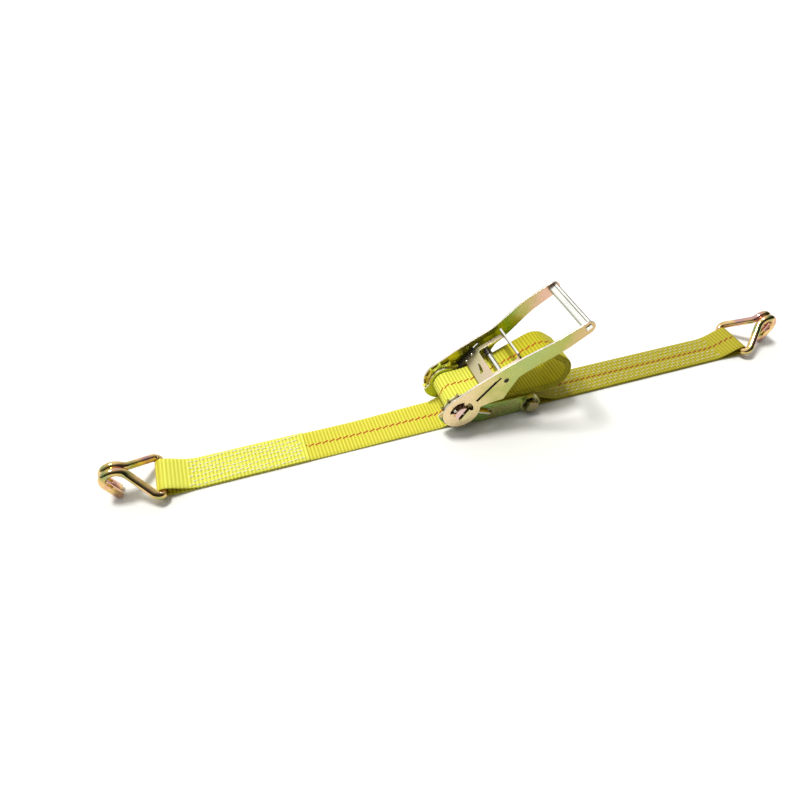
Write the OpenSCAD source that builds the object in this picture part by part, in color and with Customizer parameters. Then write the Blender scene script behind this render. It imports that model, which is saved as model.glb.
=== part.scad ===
// Ratchet strap with a ratchet buckle, a wound tail and a double wire hook at each end.
// X runs along the strap from the long strap's hook to the short strap's hook,
// Y across the webbing and Z up. The strap lies on the plane Z = 0.

/* [Webbing] */
// Width of the webbing
web_w = 50; // [48:0.5:50]
// Thickness of one ply
web_t = 2.1; // [1.8:0.1:2.1]
// Distance between the base bars of the two hooks
hook_span = 858; // [780:2:1000]
// Length of the folded-back end that is sewn down, measured from the base bar
lap_length = 182; // [120:1:220]
// Length of the open loop beyond the stitching
loop_length = 46; // [44:1:60]

/* [Tail roll] */
// Spacing of the wound plies
roll_pitch = 2.6; // [2.4:0.1:2.8]
// Number of plies in the roll
roll_plies = 4; // [3:1:5]

/* [Ratchet] */
// Where the drum axis stands along X
drum_x = -43; // [-60:1:-30]
// Height of the drum axis
drum_z = 38; // [38:0.5:42]
// Radius of the split mandrel
mandrel_r = 11; // [10:0.1:11]
// Width of the slot between the mandrel halves
mandrel_slot = 5; // [4:0.5:6]
// Direction of the mandrel slot, above X
slot_angle = 54; // [0:1:90]
// Number of teeth on a ratchet wheel
teeth = 12; // [12:1:12]
// Tip radius of a ratchet wheel
wheel_r = 29; // [28.6:0.1:29.2]
// Distance along X from the drum axis to the anchor bolt
bolt_dx = 107; // [104:1:112]
// Height of the anchor bolt
bolt_z = 14; // [14:0.5:15]

/* [Handle] */
// Angle of the handle above X as it lies
handle_angle = 34.5; // [34.5:0.5:36]
// Distance from the drum axis to the grip
grip_u = 193; // [188:1:200]
// Distance between the outer faces of the handle arms at the grip
grip_w = 94.6; // [90:0.2:100]
// Thickness of the handle arms
arm_t = 2.8; // [2.5:0.1:2.8]

/* [Hooks] */
// Diameter of the hook wire
wire_d = 10.5; // [9.5:0.1:10.5]
// Radius of the hook bend to the middle of the wire
bend_r = 14; // [13:0.5:16]
// Slope of the hook arms above X
hook_slope = 38; // [36:1:40]

/* [Hidden] */

half_w = web_w / 2;
wire_r = wire_d / 2;
// Gap left between pieces that move past each other.
gap = 0.3;

// Planes across the ratchet, measured from the middle of the webbing.
frame_in = half_w + 1;
frame_t = 3;
frame_out = frame_in + frame_t;
wheel_in = frame_out + 0.6;
wheel_t = 4.8;
wheel_out = wheel_in + wheel_t;
arm_in = wheel_out + 0.8;
arm_out = arm_in + arm_t;
mandrel_end = 43;

// Windings on the mandrel: one ply turns with it, one lies still around it.
core_in = mandrel_r + 0.1;
core_out = core_in + web_t;
wrap_in = core_out + gap;
wrap_mid = wrap_in + web_t + 0.1;
wrap_out = wrap_mid + web_t;
wrap_r = (wrap_in + wrap_mid) / 2;
wrap_shift = (wrap_mid - wrap_in) / 2;

// Drive slider: its plate lies on a line that passes below the drum axis.
slide_tilt = 12;
slide_offset = 5;
slide_t = 2.5;
slide_nose = 25.8;
slide_angle = handle_angle + slide_tilt;
slide_travel = 8;
slot_t = 3.7;

// Lock pawl: the same idea, on the frame.
lock_angle = -24.2;
lock_offset = 0.4;
lock_t = 2.7;
lock_nose = 26;
lock_len = 32;
lock_ear = 20;
lock_travel = 6;
lock_headroom = 3.2;

// Tooth face: parallel to the drive slider's plate, a tenth of a millimetre off it.
tooth_face = slide_offset - slide_t / 2 - 0.1;
root_r = 23.5;

bolt_x = drum_x + bolt_dx;
bolt_r = 5;
sleeve_r = 8;
boss_r = 14;

// Handle outline along the handle (u) and across it (v).
disc_r = 26.5;
flare_start = 99;
flare_end = 152;
grip_v = -1;
grip_out = grip_w / 2;
rod_u = 71.5;
rod_v = -1.5;
rod_r = 3.5;
rod_end = arm_out - 1.5;

// Hooks.
bar_z = 9.5;
bar_half = 31;
bar_x = hook_span / 2;
knee = 9.5;
hook_arm = 52;
leg_angle = 25.5;
j_y = wire_r + 0.05;
bend_u = hook_arm * cos(hook_slope) + bend_r * sin(hook_slope);
bend_z = bar_z + hook_arm * sin(hook_slope) - bend_r * cos(hook_slope);
leg_len = (bend_z - bend_r * sin(leg_angle) - wire_r * sin(leg_angle)) / cos(leg_angle);

// Loop of webbing round a base bar.
loop_in = wire_r + 0.35;
loop_out = loop_in + web_t;

// Three circles whose common outline is the outermost ply of the roll: [x, z, r].
roll_circles = [
    [bolt_x - 40, 45.4, 20],
    [bolt_x + 18, 65.5, 30],
    [bolt_x + 30, 56, 30]
];
tail_slope = 24.2;

// ---------- helpers ----------

// Extrudes a shape drawn in X and Z from y0 to y1.
module across(y0, y1) {
    translate([0, y1, 0]) rotate([90, 0, 0]) linear_extrude(y1 - y0) children();
}

// The same shape on the near side (-Y) or the far side (+Y).
module side(far, y0, y1) {
    if (far) across(y0, y1) children();
    else across(-y1, -y0) children();
}

module at_drum() { translate([drum_x, 0, drum_z]) children(); }
module on_handle() { at_drum() rotate([0, -handle_angle, 0]) children(); }
module on_slider() { at_drum() rotate([0, -slide_angle, 0]) translate([0, 0, -slide_offset]) children(); }
module on_lock() { at_drum() rotate([0, -lock_angle, 0]) translate([0, 0, -lock_offset]) children(); }

// A cylinder along Y.
module bar_y(r, y0, y1) { translate([0, y1, 0]) rotate([90, 0, 0]) cylinder(r = r, h = y1 - y0, $fn = 64); }

function polar(r, a) = [r * cos(a), r * sin(a)];
function bezier(a, b, c, d, t) =
    pow(1 - t, 3) * a + 3 * t * pow(1 - t, 2) * b + 3 * t * t * (1 - t) * c + pow(t, 3) * d;
function bezier_path(a, b, c, d, n) = [for (i = [0 : n]) bezier(a, b, c, d, i / n)];
function arc_path(c, r, a0, a1, n) = [for (i = [0 : n]) c + polar(r, a0 + (a1 - a0) * i / n)];
function unit(v) = v / norm(v);
function path_normal(p, i) =
    let (d = unit(p[min(i + 1, len(p) - 1)] - p[max(i - 1, 0)])) [-d[1], d[0]];

// A ply of webbing whose lower or inner face follows the path, with its thickness to the left of it.
module ply(path) {
    outer = [for (i = [len(path) - 1 : -1 : 0]) path[i] + web_t * path_normal(path, i)];
    polygon(concat(path, outer));
}

// Outline around the roll circles, drawn in by an inset.
function reach(c, a) = c[0] * cos(a) + c[1] * sin(a) + c[2];
function roll_point(a, inset) =
    let (reaches = [for (c = roll_circles) reach(c, a)])
    let (c = roll_circles[search(max(reaches), reaches)[0]])
    [c[0], c[1]] + polar(c[2] - inset, a);
function roll_outline(inset) = [for (a = [0 : 7.5 : 359]) roll_point(a, inset)];

// Sweeps a round wire along a path, turning its section as little as it can.
function carried(tangents, normal, i = 0) =
    i == len(tangents) ? [] :
    let (n = unit(normal - (normal * tangents[i]) * tangents[i]))
    concat([n], carried(tangents, n, i + 1));

module wire(path, r, sides, normal) {
    last = len(path) - 1;
    tangents = [for (i = [0 : last]) unit(path[min(i + 1, last)] - path[max(i - 1, 0)])];
    normals = carried(tangents, normal);
    points = [for (i = [0 : last]) for (k = [0 : sides - 1])
        let (b = 360 * k / sides)
        path[i] + r * (cos(b) * normals[i] + sin(b) * cross(tangents[i], normals[i]))];
    skin = [for (i = [0 : last - 1]) for (k = [0 : sides - 1])
        let (n = (k + 1) % sides)
        [i * sides + k, i * sides + n, (i + 1) * sides + n, (i + 1) * sides + k]];
    first = [for (k = [sides - 1 : -1 : 0]) k];
    end = [for (k = [0 : sides - 1]) last * sides + k];
    polyhedron(points, concat(skin, [first, end]));
}

// The middle line of a coil along Z, which can run out into a straight leg.
function helix(r, z0, z1, turns, leg = 0) =
    let (steps = 14 * turns)
    concat(
        [for (i = [0 : steps])
            let (a = 360 * turns * i / steps)
            [r * cos(a), r * sin(a), z0 + (z1 - z0) * i / steps]],
        leg > 0 ? [[r, leg, z1]] : []);

// A corner of a path at p, on the way from a to b, rounded over a distance d.
function rounded(a, p, b, d) =
    let (start = p - d * unit(p - a), stop = p + d * unit(b - p))
    [for (t = [0 : 0.2 : 1]) pow(1 - t, 2) * start + 2 * t * (1 - t) * p + t * t * stop];

function backwards(p) = [for (i = [len(p) - 1 : -1 : 0]) p[i]];

// ---------- frame ----------

// Outline of a side plate: low around the top of the drum, a cam step below it, and a boss for the bolt.
module frame_outline() {
    low_r = 21.5;
    cam_r = 30;
    translate([drum_x, drum_z]) {
        circle(r = low_r, $fn = 96);
        polygon(concat(
            [[0, 0], polar(low_r, 184), polar(24, 188)],
            arc_path([0, 0], cam_r, 196, 286, 18),
            [[34, -36.5], [56, -37.2], [bolt_dx - 16, -36.4], [bolt_dx, bolt_z - drum_z - 6],
             [bolt_dx - 4, -10.2], [bolt_dx - 16, -9.2], [54, -8.2], [33, -5.2], [20, -2]]));
    }
    translate([bolt_x, bolt_z]) circle(r = boss_r, $fn = 96);
}

module frame_plate(far) {
    difference() {
        union() {
            side(far, frame_in, frame_out) frame_outline();
            translate([bolt_x, 0, bolt_z]) side(far, frame_out - 1, frame_out + 3.2) circle(r = boss_r, $fn = 96);
        }
        at_drum() side(far, frame_in - 1, frame_out + 1) circle(r = mandrel_r + 0.06, $fn = 96);
        translate([bolt_x, 0, bolt_z]) side(far, frame_in - 1, frame_out + 4) circle(r = bolt_r + 0.05, $fn = 64);
        translate([bolt_x, 0, bolt_z]) side(far, frame_out, frame_out + 4) circle(r = boss_r - 1.6, $fn = 96);
        on_lock() side(far, frame_in - 1, frame_out + 1)
            translate([lock_nose - 1.5, -lock_t / 2 - gap])
                square([lock_ear + lock_travel + 5, lock_t + gap + lock_headroom]);
    }
}

module frame_channel() {
    web_x = drum_x + 38;
    web_len = 50;
    color("darkkhaki") {
        frame_plate(false);
        frame_plate(true);
        translate([web_x, -frame_in, 1.2]) cube([web_len, 2 * frame_in, 2.4]);
        translate([drum_x + 68, -8, 2]) cube([2.4, 16, 11]);
    }
}

module anchor_bolt() {
    head_in = frame_out + 1.6;
    color("gold") translate([bolt_x, 0, bolt_z]) {
        bar_y(bolt_r, -head_in, frame_out + 12);
        translate([0, -head_in, 0]) rotate([90, 0, 0]) rotate([0, 0, 12]) cylinder(r = 9.8, h = 7.5, $fn = 6);
        bar_y(8.2, -head_in - 8.1, -head_in - 7.5);
    }
}

module washer(y0) {
    translate([bolt_x, 0, bolt_z]) difference() {
        bar_y(10.5, y0, y0 + 1.6);
        bar_y(bolt_r + 0.02, y0 - 1, y0 + 3);
    }
}

module anchor_washers() {
    color("silver") {
        washer(-frame_out - 1.6);
        washer(frame_out);
    }
}

module anchor_nut() {
    color("gold") translate([bolt_x, 0, bolt_z]) difference() {
        translate([0, frame_out + 9.6, 0]) rotate([90, 0, 0]) cylinder(r = 9.8, h = 8, $fn = 6);
        bar_y(bolt_r + 0.02, frame_out, frame_out + 12);
    }
}

module spacer_sleeve() {
    color("silver") translate([bolt_x, 0, bolt_z]) difference() {
        bar_y(sleeve_r, -frame_in, frame_in);
        bar_y(bolt_r + 0.05, -frame_in - 1, frame_in + 1);
    }
}

module lock_pawl() {
    width = wheel_out + 0.4;
    color("goldenrod") on_lock() {
        translate([lock_nose, -width, -lock_t / 2]) cube([lock_ear, 2 * width, lock_t]);
        translate([lock_nose, gap - frame_in, -lock_t / 2]) cube([lock_len, 2 * (frame_in - gap), lock_t]);
        translate([lock_nose + lock_len - 2.5, -15, -5.5]) cube([2.5, 30, 9]);
    }
}

module lock_spring() {
    seat = lock_nose + lock_len + 0.1;
    color("silver") on_lock() translate([seat, 0, -1]) rotate([0, 90, 0])
        wire(helix(2.6, 0.6, 11.6, 5), 0.6, 8, [1, 0, 0]);
}

// ---------- drum ----------

module half_round(r, sign) {
    rotate([0, 0, slot_angle]) intersection() {
        circle(r = r, $fn = 96);
        translate([-r - 1, sign > 0 ? mandrel_slot / 2 : -r - 1]) square([2 * r + 2, r + 1 - mandrel_slot / 2]);
    }
}

module mandrel_half(sign) {
    color("rosybrown") at_drum() difference() {
        across(-mandrel_end, mandrel_end) half_round(mandrel_r, sign);
        for (y = [-mandrel_end + 2.8, mandrel_end - 2.8])
            translate([0, y, 0]) rotate([0, -slot_angle, 0]) cylinder(r = 1.25, h = 60, center = true, $fn = 32);
    }
}

module mandrel_half_upper() { mandrel_half(1); }
module mandrel_half_lower() { mandrel_half(-1); }

// A tooth has a steep face on its clockwise side, a narrow tip and a hollow back.
module wheel_outline() {
    pitch = 360 / teeth;
    tooth = [
        polar(root_r, -asin(tooth_face / root_r)), polar(wheel_r, -asin(tooth_face / wheel_r)),
        polar(wheel_r, -4.3), polar(25.6, 0.6), polar(24.2, 5), polar(root_r, 11), polar(root_r, 16)
    ];
    turn = [for (k = [0 : teeth - 1]) slide_angle + k * pitch];
    polygon([for (a = turn) for (p = tooth) polar(norm(p), a + atan2(p[1], p[0]))]);
}

module ratchet_wheel(far) {
    color("olive") at_drum() side(far, wheel_in, wheel_out) difference() {
        wheel_outline();
        half_round(mandrel_r + 0.02, 1);
        half_round(mandrel_r + 0.02, -1);
    }
}

module ratchet_wheel_near() { ratchet_wheel(false); }
module ratchet_wheel_far() { ratchet_wheel(true); }

module cotter_pins() {
    color("silver") at_drum() for (y = [-mandrel_end + 2.8, mandrel_end - 2.8])
        translate([0, y, 0]) rotate([0, -slot_angle, 0]) {
            cylinder(r = 1.2, h = 27, center = true, $fn = 32);
            translate([0, 0, 13.5]) sphere(r = 2, $fn = 32);
        }
}

// The ply that turns with the mandrel, and the stretch that passes through its slot.
module drum_webbing() {
    color("yellow") at_drum() across(-half_w, half_w) {
        difference() {
            circle(r = core_out, $fn = 96);
            circle(r = core_in, $fn = 96);
        }
        rotate([0, 0, slot_angle]) square([2 * core_in, web_t], center = true);
    }
}

// ---------- handle ----------

// Side view of an arm: disc round the drum, a lobe below it and a narrow arm out to the grip.
module arm_blank(far) {
    end_r = 10;
    y0 = arm_in - 1;
    y1 = grip_out + 1;
    side(far, y0, y1) circle(r = disc_r, $fn = 96);
    translate([52.5, 0, -23.5]) side(far, y0, y1) circle(r = 4.5, $fn = 48);
    translate([grip_u - 1, 0, -2.2]) side(far, y0, y1) circle(r = end_r, $fn = 64);
    side(far, y0, y1) polygon([
        [-2, disc_r - 0.4], [38, 24], [98, 15.5], [flare_end, 12.6], [grip_u, 7.6], [grip_u, -12],
        [flare_end, -11], [86, -11.4], [67, -20.6], [55.7, -26.6], [50.6, -27.5],
        [36, -19.2], [20, -13], [8, -12]
    ]);
}

// The mandrel's hole, with two windows above it that leave a narrow land between them.
module arm_holes() {
    window_r = 16.5;
    circle(r = mandrel_r + 0.06, $fn = 96);
    for (w = [[46, 142], [-38, 22]]) intersection() {
        polygon(concat([[0, 0]], arc_path([0, 0], 2 * window_r, w[0], w[1], 12)));
        circle(r = window_r, $fn = 96);
    }
    translate([rod_u, rod_v]) circle(r = rod_r + 0.02, $fn = 48);
}

// Plan view of an arm: straight past the ratchet, then flared out to the grip.
module arm_plan(y_in) {
    step = grip_out - arm_t - y_in;
    polygon([
        [-disc_r - 1, y_in], [flare_start, y_in], [flare_end, y_in + step], [grip_u + 20, y_in + step],
        [grip_u + 20, y_in + step + arm_t], [flare_end - 0.4, y_in + step + arm_t],
        [flare_start - 0.4, y_in + arm_t], [-disc_r - 1, y_in + arm_t]
    ]);
}

module handle_arm(far) {
    color("darkkhaki") difference() {
        on_handle() intersection() {
            arm_blank(far);
            translate([0, 0, -60]) linear_extrude(120)
                if (far) arm_plan(arm_in);
                else mirror([0, 1]) arm_plan(arm_in);
        }
        on_handle() side(far, arm_in - 2, arm_out + 2) arm_holes();
        on_slider() side(far, arm_in - 1, arm_out + 1)
            translate([slide_nose - 2, -slot_t / 2]) square([45, slot_t]);
        on_handle() side(far, grip_out - arm_t - 1, grip_out + 1)
            translate([grip_u - 4, grip_v - 3]) square([8, 6]);
    }
}

module handle_arm_near() { handle_arm(false); }
module handle_arm_far() { handle_arm(true); }

module grip_bar() {
    inner = grip_out - arm_t;
    color("white") on_handle() translate([grip_u, 0, grip_v]) {
        across(-inner, inner) difference() {
            union() {
                square([13, 5], center = true);
                square([9, 9], center = true);
                for (u = [-4.5, 4.5]) for (v = [-2.5, 2.5]) translate([u, v]) circle(r = 2, $fn = 32);
            }
            translate([1.5, 4]) square([1, 1.2]);
            translate([-5.5, 4]) square([0.8, 1.2]);
        }
        across(-grip_out - 1, grip_out + 1) square([8, 6], center = true);
    }
}

module cross_rod() {
    color("silver") on_handle() translate([rod_u, 0, rod_v]) bar_y(rod_r, -rod_end, rod_end);
}

// Torsion spring round the cross rod: its straight leg presses on the slider's middle.
module drive_spring() {
    leg_turn = 86;
    color("dimgray") on_handle() translate([rod_u, 26, rod_v])
        rotate([90, 0, 0]) rotate([0, 0, leg_turn])
            wire(helix(rod_r + 1.1, 0.7, 9.3, 5, 17), 0.7, 8, [1, 0, 0]);
}

// Pressed plate: two ears reach through the arms' slots into the wheels, the middle stands back from
// the webbing, and a window leaves two side strips and an upright lip for the fingers.
module drive_slider() {
    plate_half = 30;
    strip_in = 23.4;
    ear_in = 27;
    ear_out = arm_in + 1.4;
    ear_length = 34;
    body_start = 40;
    bend = 64;
    tab = 6;
    lip = 103;
    color("rosybrown") {
        on_slider() {
            for (m = [0, 1]) mirror([0, m, 0])
                translate([slide_nose, ear_in, -slide_t / 2]) cube([ear_length, ear_out - ear_in, slide_t]);
            difference() {
                translate([body_start, -plate_half, -slide_t / 2]) cube([bend - body_start, 2 * plate_half, slide_t]);
                translate([body_start + 9, -tab / 2, -tab]) cube([tab, tab, 2 * tab]);
            }
        }
        on_handle() {
            for (m = [0, 1]) mirror([0, m, 0]) across(strip_in, plate_half)
                polygon([
                    [61.2, 6.4], [66, 6.6], [80, 4.2], [lip - 1, 1.6],
                    [lip + 1, 4.1], [80, 6.8], [66, 9.2], [60.7, 8.6]
                ]);
            across(-plate_half, plate_half)
                polygon([[lip - 1.6, 1.6], [lip + 0.6, 1.6], [lip + 2.4, 16.5], [lip + 0.4, 16.8]]);
        }
    }
}

// ---------- webbing ----------

wrap_centre = [drum_x, drum_z];
tangent_angle = -48;
load_centre = wrap_centre - [0, wrap_shift];
tail_centre = wrap_centre + [0, wrap_shift];
load_in = wrap_r + web_t;

// A path without its first point, to join it to the one before.
function rest(p) = [for (i = [1 : len(p) - 1]) p[i]];

// Where a folded-back ply leaves the top of a loop at x = 0 and comes down onto the ply below.
function closing(length) = let (top = bar_z + loop_in)
    bezier_path([0, top], [12, top], [26, web_t], [length, web_t], 12);

// Half of a ring of webbing round a bar at the origin, on its left side.
module half_loop(r) {
    difference() {
        circle(r = r + web_t, $fn = 96);
        circle(r = r, $fn = 96);
        translate([0, -20]) square([40, 40]);
    }
}

// From the top of the left hook's bar, round it, along the floor, under the drum and up its right side.
module long_strap() {
    foot = [drum_x - 27, 0];
    touch = load_centre + polar(load_in, tangent_angle);
    along = [-sin(tangent_angle), cos(tangent_angle)];
    bar = [-bar_x, bar_z];
    under = bar - [0, loop_out];
    settle = bezier_path(under + [0.5, 0], under + [6, 0], [10 - bar_x, 0], [18 - bar_x, 0], 8);
    rise = bezier_path(foot, foot + [16, 0], touch - 22 * along, touch, 12);
    round_drum = arc_path(load_centre, load_in, tangent_angle, 88, 24);
    color("yellow") {
        translate([bar[0], 0, bar[1]]) across(-half_w, half_w) half_loop(loop_in);
        across(-half_w, half_w) ply(concat([under], settle, rise, rest(round_drum)));
    }
}

module long_strap_lap() {
    color("yellow") across(-half_w, half_w) translate([-bar_x, 0])
        ply(concat(closing(loop_length), [[lap_length, web_t]]));
}

// Lead-in of the tail: over the drum, then straight up towards the roll.
function tail_line(x) = let (c = roll_circles[1], r = c[2] - web_t)
    [x, c[1] + (r - sin(tail_slope) * (c[0] - x)) / cos(tail_slope)];

module strap_tail() {
    top = tail_centre + [0, wrap_r];
    meet = tail_line(drum_x + 44);
    stop = tail_line(roll_circles[1][0] - (roll_circles[1][2] + 1) * sin(tail_slope));
    lead = bezier_path(top, top + [16, 0], meet - 16 * polar(1, tail_slope), meet, 12);
    over_drum = arc_path(tail_centre, wrap_r, 270, 90, 30);
    color("yellow") across(-half_w, half_w) ply(concat(over_drum, [for (i = [1 : 12]) lead[i]], [stop]));
}

module tail_roll() {
    thickness = roll_plies * roll_pitch - (roll_pitch - web_t);
    color("yellow") across(-half_w, half_w) difference() {
        polygon(roll_outline(0));
        polygon(roll_outline(thickness));
        // The straight tail takes the place of the first ply's upper left stretch.
        polygon([
            tail_line(drum_x) - [0, 0.4], tail_line(roll_circles[1][0] - 11) - [0, 0.4],
            tail_line(roll_circles[1][0] - 11) + [0, 30], tail_line(drum_x) + [0, 60]
        ]);
    }
}

// Round the spacer sleeve, along the floor and round the right-hand hook's bar.
module short_strap() {
    r_out = sleeve_r + 0.1 + web_t;
    sleeve = [bolt_x, bolt_z];
    bar = [bar_x, bar_z];
    low = sleeve - [0, r_out];
    under = bar - [0, loop_out];
    settle = bezier_path(low + [0.5, 0], low + [10, 0], [bolt_x + 18, 0], [bolt_x + 30, 0], 8);
    rise = bezier_path([bar_x - 18, 0], [bar_x - 10, 0], under - [6, 0], under - [0.5, 0], 8);
    color("olive") {
        translate([sleeve[0], 0, sleeve[1]]) across(-half_w, half_w) half_loop(r_out - web_t);
        across(-half_w, half_w) ply(concat([low], settle, rise, [under]));
        translate([bar[0], 0, bar[1]]) mirror([1, 0, 0]) across(-half_w, half_w) half_loop(loop_in);
    }
}

module short_strap_upper() {
    top = bolt_z + sleeve_r + 0.1;
    drop = bezier_path([bolt_x, top], [bolt_x + 14, top], [bolt_x + 34, web_t], [bolt_x + 56, web_t], 12);
    climb = [for (p = closing(loop_length)) [bar_x - p[0], p[1]]];
    color("olive") across(-half_w, half_w)
        ply(concat(drop, [for (i = [len(climb) - 1 : -1 : 0]) climb[i]]));
}

// ---------- hooks ----------

// Half of the hook's wire from the middle of the base bar to a tip. It points to +X, on side s.
function half_hook(s) =
    let (middle = [0, 0, bar_z], corner = [0, s * bar_half, bar_z])
    let (slope = [cos(hook_slope), 0, sin(hook_slope)])
    let (knee_at = corner + knee * slope)
    let (centre = [bend_u, s * j_y, bend_z])
    let (join = centre + bend_r * [-sin(hook_slope), 0, cos(hook_slope)] - 6 * slope)
    let (sweep = 90 + hook_slope + leg_angle)
    let (bend = [for (i = [0 : 18])
        let (a = 90 + hook_slope - sweep * i / 18)
        centre + bend_r * [cos(a), 0, sin(a)]])
    let (tip = bend[18] - leg_len * [sin(leg_angle), 0, cos(leg_angle)])
    concat(rounded(middle, corner, knee_at, 5), rounded(corner, knee_at, join, 3),
        rounded(knee_at, join, bend[0], 4), bend, [tip]);

// One bent wire: a base bar, two arms and two bends that lie side by side.
module wire_hook() {
    wire(concat(backwards(half_hook(-1)), half_hook(1)), wire_r, 20, [0, 1, 0]);
}

module hook_left() { color("tan") translate([-bar_x, 0, 0]) mirror([1, 0, 0]) wire_hook(); }
module hook_right() { color("tan") translate([bar_x, 0, 0]) wire_hook(); }

// ---------- output ----------

frame_channel();
anchor_bolt();
anchor_washers();
anchor_nut();
spacer_sleeve();
lock_pawl();
lock_spring();
mandrel_half_upper();
mandrel_half_lower();
ratchet_wheel_near();
ratchet_wheel_far();
cotter_pins();
drum_webbing();
handle_arm_near();
handle_arm_far();
grip_bar();
cross_rod();
drive_spring();
drive_slider();
long_strap();
long_strap_lap();
strap_tail();
tail_roll();
short_strap();
short_strap_upper();
hook_left();
hook_right();
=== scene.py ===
"""Looks for the ratchet strap: webbing, stitching, plated steel and light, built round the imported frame.

Lengths are in millimetres until a mesh is made, and angles are in degrees, unless a comment says otherwise.
X runs along the strap, Y across it and Z up. U and V run along and above a part that turns about the drum.
"""

import math

import bmesh
import bpy
import numpy as np
from mathutils import Matrix, Vector


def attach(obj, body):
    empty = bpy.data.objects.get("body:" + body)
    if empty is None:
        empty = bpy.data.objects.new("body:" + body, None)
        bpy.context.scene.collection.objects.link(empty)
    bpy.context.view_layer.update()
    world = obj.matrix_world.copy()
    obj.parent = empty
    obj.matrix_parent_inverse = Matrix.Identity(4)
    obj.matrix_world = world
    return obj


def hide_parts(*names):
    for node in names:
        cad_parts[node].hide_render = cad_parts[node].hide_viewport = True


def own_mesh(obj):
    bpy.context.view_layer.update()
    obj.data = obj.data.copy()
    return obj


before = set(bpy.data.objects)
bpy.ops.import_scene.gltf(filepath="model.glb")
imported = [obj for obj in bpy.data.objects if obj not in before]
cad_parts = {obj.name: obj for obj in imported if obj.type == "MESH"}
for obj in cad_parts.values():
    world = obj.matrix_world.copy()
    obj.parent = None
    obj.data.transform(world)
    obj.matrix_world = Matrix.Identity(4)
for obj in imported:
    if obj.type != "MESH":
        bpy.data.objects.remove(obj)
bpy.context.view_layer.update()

MM = 0.001
WEB_W, WEB_T = 50.0, 2.1
HALF_T = WEB_T / 2
RIB = 4.67  # from one rib of the webbing to the next
DRUM = (-43.0, 38.0)  # X and Z of the drum's axis
BOLT = (64.0, 14.0)  # X and Z of the anchor bolt's axis
BAR_X, BAR_Z = 429.0, 9.5  # each hook's base bar, on both sides of the middle
WIRE_R = 5.25
HANDLE_ANGLE = 34.5
HANDLE_C, HANDLE_S = math.cos(math.radians(HANDLE_ANGLE)), math.sin(math.radians(HANDLE_ANGLE))
ARM_IN, ARM_T = 35.2, 2.8  # each arm's inner face beside the drum, and its thickness
GRIP_OUT = 47.3  # the arms' outer faces at the grip
FLARE, FLARE_EASE = (99, 152), 12  # where the CAD arms spread, and how much further the curve reaches
SLIDE_TILT, SLIDE_OFFSET = 12.0, 5.0  # the arms' slots, from the line of the handle
SLIDE_ANGLE = HANDLE_ANGLE + SLIDE_TILT
random = np.random.default_rng(7)


# ---------- small helpers ----------


def polar(r, a):
    return np.array([r * math.cos(math.radians(a)), r * math.sin(math.radians(a))])


def arc(c, r, a0, a1, n):
    return [np.array(c) + polar(r, a0 + (a1 - a0) * i / n) for i in range(n + 1)]


def bezier(a, b, c, d, n):
    a, b, c, d = (np.array(p, float) for p in (a, b, c, d))
    return [
        (1 - t) ** 3 * a + 3 * t * (1 - t) ** 2 * b + 3 * t * t * (1 - t) * c + t**3 * d
        for t in np.linspace(0, 1, n + 1)
    ]


def resample(points, step):
    """The path with a point every step, and their lengths along it. The step is stretched a little to fit."""
    p = [np.array(points[0], float)]
    for q in points[1:]:
        if np.linalg.norm(np.array(q) - p[-1]) > 1e-4:
            p.append(np.array(q, float))
    p = np.array(p)
    s = np.r_[0, np.cumsum(np.linalg.norm(np.diff(p, axis=0), axis=1))]
    at = np.linspace(0, s[-1], max(2, round(s[-1] / step) + 1))
    q = np.stack([np.interp(at, s, p[:, k]) for k in range(p.shape[1])], 1)
    for _ in range(4):  # rounds off the corners that the points leave
        q[1:-1] = 0.25 * q[:-2] + 0.5 * q[1:-1] + 0.25 * q[2:]
    return q, at


def normals(path):
    """The unit normal to the left of a flat path, at each of its points."""
    d = np.gradient(path, axis=0)
    d /= np.linalg.norm(d, axis=1)[:, None]
    return np.stack([-d[:, 1], d[:, 0]], 1)


def turned(angle):
    """The place of U, Y and V on a part that turns with the drum's axis as its origin."""
    c, s = math.cos(math.radians(angle)), math.sin(math.radians(angle))
    return lambda u, y, v: (DRUM[0] + u * c - v * s, y, DRUM[1] + u * s + v * c)


def on_handle(u, v):
    """The X and Z of a point on the handle."""
    return DRUM[0] + u * HANDLE_C - v * HANDLE_S, DRUM[1] + u * HANDLE_S + v * HANDLE_C


def along_handle(x, z):
    """The U and V of a step in X and Z."""
    return x * HANDLE_C + z * HANDLE_S, -x * HANDLE_S + z * HANDLE_C


def smooth_step(x, a, b):
    t = min(1.0, max(0.0, (x - a) / (b - a)))
    return t * t * (3 - 2 * t)


def sweep(path, radii, sides):
    """A round wire with closed ends along a path, with one radius a point: its points, faces and UVs."""
    path = [np.array(p, float) for p in path]
    last = len(path) - 1
    verts, uv, faces = [], [], []
    length = 0.0
    normal = np.array([0.0, 1.0, 0.0])
    for i, p in enumerate(path):
        t = path[min(i + 1, last)] - path[max(i - 1, 0)]
        t = t / np.linalg.norm(t)
        if i == 0 and abs(normal @ t) > 0.9:
            normal = np.array([1.0, 0.0, 0.0])
        normal = normal - (normal @ t) * t
        normal = normal / np.linalg.norm(normal)
        other = np.cross(t, normal)
        length += np.linalg.norm(p - path[max(i - 1, 0)])
        for k in range(sides):
            b = 2 * math.pi * k / sides
            verts.append(p + radii[i] * (math.cos(b) * normal + math.sin(b) * other))
            uv.append((length * MM, k / sides))
    for i in range(last):
        for k in range(sides):
            m = (k + 1) % sides
            faces.append((i * sides + k, i * sides + m, (i + 1) * sides + m, (i + 1) * sides + k))
    faces.append(tuple(range(sides - 1, -1, -1)))
    faces.append(tuple(last * sides + k for k in range(sides)))
    return verts, faces, uv


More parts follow.
